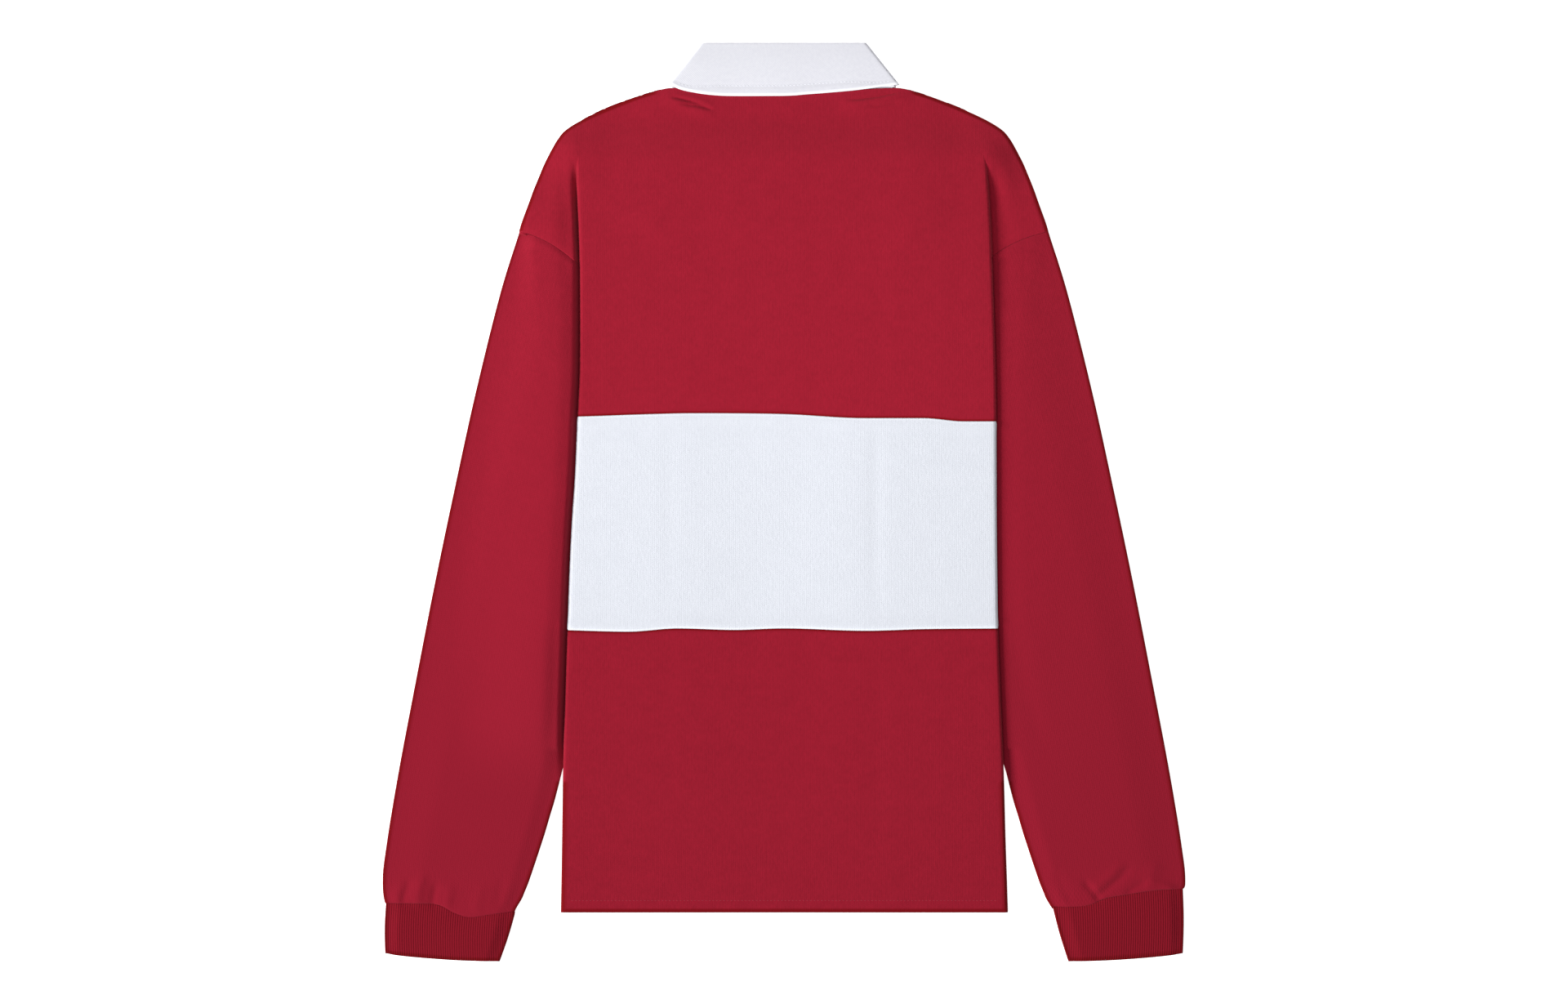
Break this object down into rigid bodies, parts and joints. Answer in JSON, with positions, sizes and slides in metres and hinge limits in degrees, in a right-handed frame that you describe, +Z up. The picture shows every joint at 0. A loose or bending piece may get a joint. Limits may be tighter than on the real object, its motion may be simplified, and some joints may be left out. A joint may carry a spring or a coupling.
{
  "type": "polo shirt",
  "caption": "Long-sleeved polo shirt laid flat with its back upwards, red with a wide white band and a white turned-down collar, sides folded under and sleeves tucked beneath.",
  "frame": {"origin": "on the surface that the shirt lies on, below the middle of the whole", "axes": "+Y towards the collar, +X towards the sleeve on the right when seen from above, +Z up out of the shirt's back"},
  "size_m": [0.6692, 0.765, 0.0088],
  "materials": {
    "red_jersey": "matt cotton jersey",
    "white_jersey": "matt cotton jersey",
    "red_rib": "ribbed cotton knit",
    "white_twill": "matt woven cotton",
    "button": "satin"
  },
  "bodies": {
    "root": {"back_upper": "red_jersey", "back_lower": "red_jersey", "front_upper": "red_jersey", "front_lower": "red_jersey", "sleeve_left": "red_jersey", "sleeve_right": "red_jersey", "back_band": "white_jersey", "front_band": "white_jersey", "cuff_left": "red_rib", "cuff_right": "red_rib", "collar_leaf": "white_twill", "collar_stand": "white_twill", "placket": "white_twill", "button_1": "button", "button_2": "button", "button_3": "button"}
  },
  "joints": []
}
